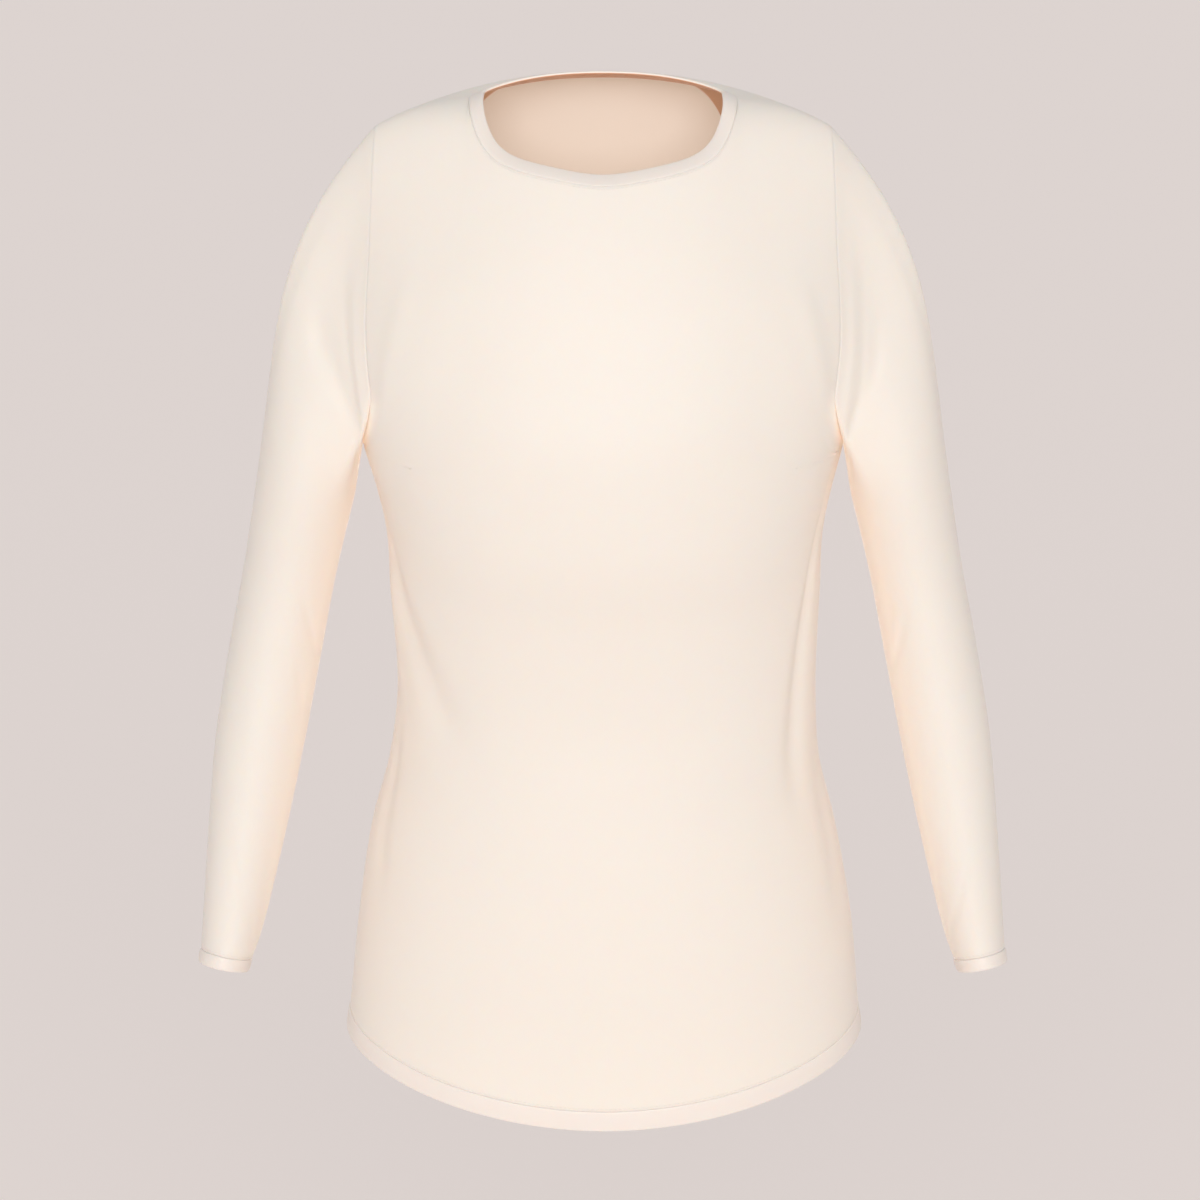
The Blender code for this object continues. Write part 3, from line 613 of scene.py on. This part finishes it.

# Neck band, folded over: it stands on the neck seam and leans in by more at the sides and behind
# than in front. Its rim carries a painted highlight, emitted more towards the back, and its inner
# face takes a dark painted shade
neckBand = {
    "wide": 0.0105, "thick": 0.0021, "proud": 0.0005, "crown": 0.00035, "flare": 0.0,
    "square": 5, "section": 32, "leanSide": 0.0098, "leanFront": 0.0087, "leanBack": 0.0096,
    "rim": 1.3, "rimReach": 0.025, "rimEdge": 0.8, "rimFace": -0.3, "innerFrom": -0.5,
}
middle = front["points"].shape[1] // 2
neckColumns = slice(middle - panel["neckSteps"], middle + panel["neckSteps"] + 1)
neckLoop = np.concatenate([front["points"][-1, neckColumns],
                           back["points"][-1, neckColumns][-2:0:-1]])
ahead = neckLoop[:, 1:2] < panel["shoulderY"]
oval = np.hstack([np.full(ahead.shape, panel["neckHalf"]),
                  np.where(ahead, panel["neckDeep"][-1], panel["neckDeep"][1])])
away = (neckLoop[:, :2] - [0, panel["shoulderY"]]) / oval
middleLean = np.where(ahead, neckBand["leanFront"], neckBand["leanBack"])
lean = neckBand["leanSide"] + (middleLean - neckBand["leanSide"]) * unit(away)[:, 1:] ** 2
standing = np.sqrt(neckBand["wide"] ** 2 - lean ** 2)
neckAcross = unit(np.hstack([-unit(away / oval) * lean, standing]))
made["neckBinding"] = bandPiece("neckBinding", neckLoop, neckAcross, neckBand)

# Hem band: it goes on from the panels' lower edges and flares a little
hemBand = dict(neckBand, wide=0.014, crown=0.0004, flare=0.0010, rim=0.0)


# Loop round both panels at one row: across the front one way, then across the back the other way
def panelLoop(key, row):
    return np.concatenate([front[key][row], back[key][row, -2:0:-1]])


hemLoop = panelLoop("points", 0)
hemAcross = unit(hemLoop - panelLoop("points", seam["bandRow"]))
made["hemBinding"] = bandPiece("hemBinding", hemLoop, hemAcross, hemBand)

# Cuff bands: the same, narrower
cuffBand = dict(neckBand, wide=0.009, proud=0.0006, crown=0.0003, flare=0.0006, section=28, rim=0.0)
for name, arm in (("leftCuffBinding", leftSleeve), ("rightCuffBinding", rightSleeve)):
    loop = arm["points"][-1]
    across = unit(loop - arm["points"][-1 - seam["bandRow"]])
    made[name] = bandPiece(name, loop, across, cuffBand)
print("bands made")

# Thread stitches on the jersey, two millimetres from each band's seam
stitch = {
    "pitch": 0.0031, "long": 0.0022, "lift": 0.00012, "sink": 0.00006, "radius": 0.00016,
    "shifts": (-0.06, 0.06), "stretches": (0.94, 1.06), "taper": 0.75,
    "steps": 5, "round": 6, "row": 4, "seed": 7,
}
stitchRow = -1 - stitch["row"]
for piece in cloth.values():
    piece["outer"] = piece["moved"] + piece["normals"] * piece["heights"][..., None]
inside = slice(middle - panel["neckSteps"] + 1, middle + panel["neckSteps"])


# Loop beside the neck seam: a row of each panel over the neck, joined over both shoulders
def neckStitchLoop(key):
    shoulders = [front[key][-1, middle + side * (panel["neckSteps"] + 1)][None] for side in (1, -1)]
    return np.concatenate([front[key][stitchRow, inside], shoulders[0],
                           back[key][stitchRow, inside][::-1], shoulders[1]])


stitchLoops = {
    "neckStitches": (neckStitchLoop("outer"), neckStitchLoop("normals")),
    "hemStitches": (panelLoop("outer", stitch["row"]), panelLoop("normals", stitch["row"])),
    "leftCuffStitches": (leftSleeve["outer"][stitchRow], leftSleeve["normals"][stitchRow]),
    "rightCuffStitches": (rightSleeve["outer"][stitchRow], rightSleeve["normals"][stitchRow]),
}
stitches = {name: stitchPiece(name, loop, outward, stitch)
            for name, (loop, outward) in stitchLoops.items()}
print("stitches made")


# A shader socket whose sums, products, powers and limits become Math nodes
class Value:
    def __init__(self, finish, socket):
        self.finish, self.socket = finish, socket

    def maths(self, operation, *values):
        return self.finish.node("ShaderNodeMath", {"operation": operation}, dict(enumerate(values)))

    def __add__(self, other):
        return self.maths("ADD", self, other)

    def __radd__(self, other):
        return self.maths("ADD", other, self)

    def __sub__(self, other):
        return self.maths("SUBTRACT", self, other)

    def __rsub__(self, other):
        return self.maths("SUBTRACT", other, self)

    def __mul__(self, other):
        return self.maths("MULTIPLY", self, other)

    def __rmul__(self, other):
        return self.maths("MULTIPLY", other, self)

    def __truediv__(self, other):
        return self.maths("DIVIDE", self, other)

    def __pow__(self, other):
        return self.maths("POWER", self, other)

    def atMost(self, other):
        return self.maths("MINIMUM", self, other)

    def atLeast(self, other):
        return self.maths("MAXIMUM", self, other)

    def sine(self):
        return self.maths("SINE", self)

    def size(self):
        return self.maths("ABSOLUTE", self)

    def part(self):
        return self.maths("FRACT", self)


# A material with its shader, and the one way to add nodes to it. Sockets of a Mix node go by
# number, since its colours share their names with its other inputs and outputs
class Finish:
    def __init__(self, name):
        self.material = bpy.data.materials.new(name)
        self.material.use_nodes = True
        self.tree = self.material.node_tree
        self.shader = self.tree.nodes["Principled BSDF"]

    def put(self, socket, value):
        if isinstance(value, Value):
            self.tree.links.new(value.socket, socket)
        else:
            socket.default_value = value

    # Settings come first, then the values or links of the sockets
    def node(self, kind, settings=None, sockets=None, output=0):
        added = self.tree.nodes.new(kind)
        for name, value in (settings or {}).items():
            setattr(added, name, value)
        for name, value in (sockets or {}).items():
            self.put(added.inputs[name], value)
        return Value(self, added.outputs[output])

    def mix(self, factor, first, second):
        sockets = {0: factor, 6: first, 7: second}
        return self.node("ShaderNodeMix", {"data_type": "RGBA"}, sockets, output=2)

    # Place on the object, in metres
    def place(self):
        return self.node("ShaderNodeTexCoord", output="Object")

    # Place on the flat cloth, in metres
    def clothPlace(self):
        return self.node("ShaderNodeUVMap", {"uv_map": "cloth"})

    def parts(self, place, axes):
        return [self.node("ShaderNodeSeparateXYZ", None, {0: place}, axis) for axis in axes]

    def noise(self, scale, detail=2.0):
        sockets = {"Vector": self.place(), "Scale": scale, "Detail": detail}
        return self.node("ShaderNodeTexNoise", None, sockets)

    def attribute(self, name):
        return self.node("ShaderNodeAttribute", {"attribute_name": name}, output="Fac")

    def bump(self, height, relief):
        sockets = {"Strength": relief["strength"], "Distance": relief["relief"], "Height": height}
        return self.node("ShaderNodeBump", None, sockets)

    def shade(self, **sockets):
        for name, value in sockets.items():
            self.put(self.shader.inputs[name.replace("_", " ")], value)
        return self.material


# Single jersey: columns of V stitches in relief, with a soft nap, and a slightly warmer inside that
# glows with a painted warm light. Shares say how much of the deep colour comes between the stitches,
# in broad clouds and in the nap. The shade colour is painted shade inside the neck, and the two
# emitted colours are painted light
jersey = {
    "color": (0.985, 0.877, 0.800, 1), "deep": (0.955, 0.840, 0.758, 1),
    "inside": (0.980, 0.872, 0.785, 1), "insideDeep": (0.965, 0.835, 0.750, 1),
    "wale": 0.00085, "course": 0.00062, "relief": 0.00010, "strength": 0.30, "leg": 0.55,
    "broad": 14.0, "nap": 900.0, "stitchShare": 0.35, "broadShare": 0.21, "napShare": 0.15,
    "napRelief": 0.5, "napGloss": 0.12,
    "loop": 0.25, "insideBroadShare": 0.6, "insideStitchShare": 0.4,
    "roughness": 0.42, "insideRoughness": 0.7, "specular": 0.5,
    "glow": 0.5, "glowRadius": (1.0, 0.75, 0.58), "glowScale": 0.002,
    "paintedInsideGlow": (0.076, 0.071, 0.058, 1), "blush": (0.150, 0.105, 0.072, 1),
    "shade": (0.63, 0.30, 0.14, 1), "shadeTop": 0.0040, "shadeSoft": 0.0015,
    "shadeDrop": 0.038, "shadeTurn": 0.14, "shadePower": 6.0,
}
# Bands: the same knit, with a dark inside colour that is painted shade for their inner faces, which
# lean in and get little light
binding = dict(jersey, color=(0.955, 0.868, 0.800, 1), deep=(0.925, 0.825, 0.752, 1),
               inside=(0.725, 0.383, 0.236, 1), glow=0.3)
black = (0, 0, 0, 1)


# Knit relief: each wale has two legs, which rise towards its sides, crossed by the courses
def knitRelief(finish, cloth):
    across, along = finish.parts(finish.clothPlace(), "XY")
    wale = (across / cloth["wale"]).part()
    leg = (wale - 0.5).size()
    row = ((along / cloth["course"] + leg) * np.pi).sine().size()
    return (wale * (2 * np.pi)).sine().size() * (cloth["leg"] + (1 - cloth["leg"]) * row)


# Outside of the jersey and the bands: the deep colour lies between the stitches and in the clouds,
# the inner face of a band takes a dark painted shade, and the painted glow adds emitted light that
# stands in for light bounced between the sleeves and the body, and for the highlight on a band's rim
def knitFinish(name, cloth):
    finish = Finish(name)
    knit = knitRelief(finish, cloth)
    broad, nap = finish.noise(cloth["broad"], 1.0), finish.noise(cloth["nap"], 0.0)
    # inner marks a band's inner face for painted shade, and the glow attribute says where painted light
    # is emitted
    inner, blush = finish.attribute("inner"), finish.attribute("blush")
    between = (1 - knit) * cloth["stitchShare"]
    depth = between + broad * cloth["broadShare"] + nap * cloth["napShare"]
    color = finish.mix(depth, cloth["color"], cloth["deep"])
    color = finish.mix(inner, color, cloth["inside"])
    bump = finish.bump(knit + nap * cloth["napRelief"], cloth)
    roughness = cloth["roughness"] + (nap - 0.5) * cloth["napGloss"]
    return finish.shade(Base_Color=color, Roughness=roughness, Normal=bump,
                        Specular_IOR_Level=cloth["specular"], Subsurface_Weight=cloth["glow"],
                        Subsurface_Radius=cloth["glowRadius"], Subsurface_Scale=cloth["glowScale"],
                        Emission_Color=finish.mix(blush, black, cloth["blush"]),
                        Emission_Strength=1.0)


# Shade inside the neck, where the cloth rolls over: above a line that drops by a power of the
# distance from the middle, and by more on one side
def neckShade(finish, cloth):
    x, z = finish.parts(finish.place(), "XZ")
    away = (x.size() / panel["neckHalf"]).atMost(1.0)
    drop = away ** cloth["shadePower"] * (x * cloth["shadeTurn"] + cloth["shadeDrop"])
    over = (z - (cloth["shadeTop"] - drop)) / cloth["shadeSoft"] + 0.5
    return over.atLeast(0.0).atMost(1.0)


# Inside of the jersey: courses of small loops in relief, as a wave bent by a finer one
def insideFinish(name, cloth):
    finish = Finish(name)
    across, along = finish.parts(finish.clothPlace(), "XY")
    loops = (across * (2 * np.pi / cloth["wale"])).sine() * cloth["loop"]
    row = ((along / cloth["course"] + loops) * np.pi).sine().size()
    clouds = finish.noise(cloth["broad"], 0.0) * cloth["insideBroadShare"]
    depth = clouds + (1 - row) * cloth["insideStitchShare"]
    color = finish.mix(depth, cloth["inside"], cloth["insideDeep"])
    color = finish.mix(neckShade(finish, cloth), color, cloth["shade"])
    # The inside emits a painted warm glow, standing in for light that shines through the cloth and
    # bounces inside
    return finish.shade(Base_Color=color, Roughness=cloth["insideRoughness"],
                        Normal=finish.bump(row, cloth), Specular_IOR_Level=cloth["specular"],
                        Emission_Color=cloth["paintedInsideGlow"], Emission_Strength=1.0)


# Sewing thread: two plies twisted together
thread = {
    "color": (0.955, 0.895, 0.830, 1), "deep": (0.87, 0.79, 0.71, 1),
    "twist": 2600.0, "uneven": 0.4, "strength": 0.3, "relief": 0.00004,
    "roughness": 0.6, "plyGloss": 0.1,
}


# Thread: bands of a wave for its plies, darker and a little smoother between them
def threadFinish(name, thread):
    finish = Finish(name)
    sockets = {"Vector": finish.place(), "Scale": thread["twist"], "Distortion": thread["uneven"]}
    ply = finish.node("ShaderNodeTexWave", None, sockets)
    return finish.shade(Base_Color=finish.mix(ply, thread["deep"], thread["color"]),
                        Roughness=thread["roughness"] + ply * thread["plyGloss"],
                        Normal=finish.bump(ply, thread))


jerseyFinish = knitFinish("creamJersey", jersey)
innerFinish = insideFinish("creamJerseyInside", jersey)
bindingFinish = knitFinish("creamBinding", binding)
stitchFinish = threadFinish("creamThread", thread)
for name, piece in made.items():
    for finish in [bindingFinish] if "Binding" in name else [jerseyFinish, innerFinish]:
        piece.data.materials.append(finish)
for piece in stitches.values():
    piece.data.materials.append(stitchFinish)
print("finishes made")

# What each piece stands for, the cut of the cloth that shows as width, length and area,
# the pieces that carry it and the threads that it carries
panels = ["frontCloth", "backCloth"]
cuts = {
    "frontCloth": ("front", (0.49, 0.71), 0.265, ["backCloth"], []),
    "backCloth": ("back", (0.485, 0.73), 0.268, ["frontCloth"], []),
    "leftSleeveCloth": ("left_sleeve", (0.31, 0.60), 0.1175, panels, []),
    "rightSleeveCloth": ("right_sleeve", (0.31, 0.60), 0.1175, panels, []),
    "neckBinding": ("neck_band", (0.496, 0.0125), None, panels, ["neckStitches"]),
    "hemBinding": ("hem_band", (0.97, 0.016), None, panels, ["hemStitches"]),
    "leftCuffBinding": ("left_cuff_band", (0.157, 0.011), None,
                        ["leftSleeveCloth"], ["leftCuffStitches"]),
    "rightCuffBinding": ("right_cuff_band", (0.157, 0.011), None,
                         ["rightSleeveCloth"], ["rightCuffStitches"]),
}
for name, (node, flat, area, carriers, riders) in cuts.items():
    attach(made[name], "root")
    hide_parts(node)
    "binding" if "Binding" in name else "jersey"
for piece in stitches.values():
    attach(piece, "root")

# Plain pale floor, far enough below that no shadow of the top shows on it. It casts none itself,
# so the low light from behind reaches the top
floor = {
    "half": 60.0, "height": -1.7, "grain": 1.5, "roughness": 0.95,
    "color": (0.927, 0.834, 0.792, 1), "pale": (0.933, 0.840, 0.798, 1),
    "lift": (0.087, 0.082, 0.083, 1),
}
mesh = bpy.data.meshes.new("floor")
corners = [(x * floor["half"], y * floor["half"], floor["height"])
           for x, y in ((-1, -1), (1, -1), (1, 1), (-1, 1))]
mesh.from_pydata(corners, [], [(0, 1, 2, 3)])
stage = addObject("floor", mesh)
ground = Finish("paleFloor")
groundColor = ground.mix(ground.noise(floor["grain"]), floor["color"], floor["pale"])
mesh.materials.append(ground.shade(Base_Color=groundColor, Roughness=floor["roughness"],
                                   Emission_Color=floor["lift"], Emission_Strength=1.0))
stage.visible_shadow = False

# Soft studio light: suns with wide discs and an even pale sky. Each sun has the direction that it
# comes from, its strength, its disc in degrees and its colour. The one behind is low, so that it
# brightens the back and puts no pale rim on the shoulders
sky = {"color": (1.0, 0.998, 1.0, 1), "strength": 0.55}
suns = {
    "keySun": ((0.0, -1.0, 0.36), 1.25, 36, (1.0, 1.0, 1.0)),
    "backSun": ((0.0, 1.0, -0.22), 0.60, 20, (1.0, 1.0, 1.0)),
}
for name, (source, strength, spread, color) in suns.items():
    lamp = bpy.data.lights.new(name, "SUN")
    lamp.energy, lamp.angle, lamp.color = strength, np.radians(spread), color
    sun = addObject(name, lamp)
    sun.rotation_mode = "QUATERNION"
    sun.rotation_quaternion = Vector(source).to_track_quat("Z", "Y")
world = bpy.data.worlds.new("studio")
world.use_nodes = True
background = world.node_tree.nodes["Background"].inputs
background["Color"].default_value = sky["color"]
background["Strength"].default_value = sky["strength"]
bpy.context.scene.world = world
bpy.context.scene.view_settings.view_transform = "Standard"

# Camera in front of the top, a little above it and looking down
view = {
    "lens": 110.0, "sensor": 36.0, "far": 200.0,
    "place": (-0.002, -2.394, 0.4015), "tilt": 17.3,
}
lens = bpy.data.cameras.new("camera")
lens.lens, lens.sensor_width, lens.clip_end = view["lens"], view["sensor"], view["far"]
camera = addObject("camera", lens)
camera.location = view["place"]
camera.rotation_euler = (np.radians(90 - view["tilt"]), 0, 0)
bpy.context.scene.camera = camera

print("scene ready")
